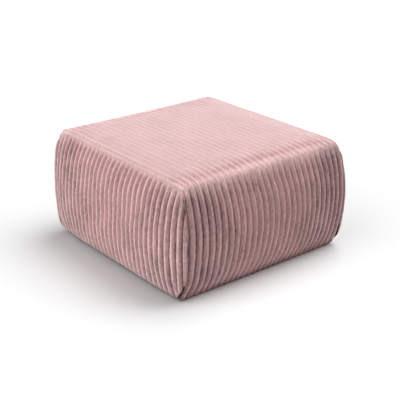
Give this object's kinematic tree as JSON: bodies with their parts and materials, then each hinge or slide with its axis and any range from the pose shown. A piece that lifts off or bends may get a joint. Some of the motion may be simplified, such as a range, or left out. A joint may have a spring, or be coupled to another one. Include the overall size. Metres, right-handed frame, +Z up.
{
  "type": "pouf",
  "caption": "Low square filled pouf in wide-ribbed cord cloth, with a panel running over front, top and back and crowned end panels.",
  "frame": {"origin": "middle of the underside, on the floor", "axes": "+Z up; X runs from end panel to end panel; Y runs from front to back along the ribs of the top"},
  "size_m": [0.7698, 0.8232, 0.402],
  "materials": {
    "cord_cloth": "dusty pink corduroy, broad soft ribs with a short brushed pile",
    "base_cloth": "thin plain dark lining cloth, matt"
  },
  "bodies": {
    "root": {"body_wrap": "cord_cloth", "end_panel_left": "cord_cloth", "end_panel_right": "cord_cloth", "base_panel": "base_cloth"}
  },
  "joints": []
}
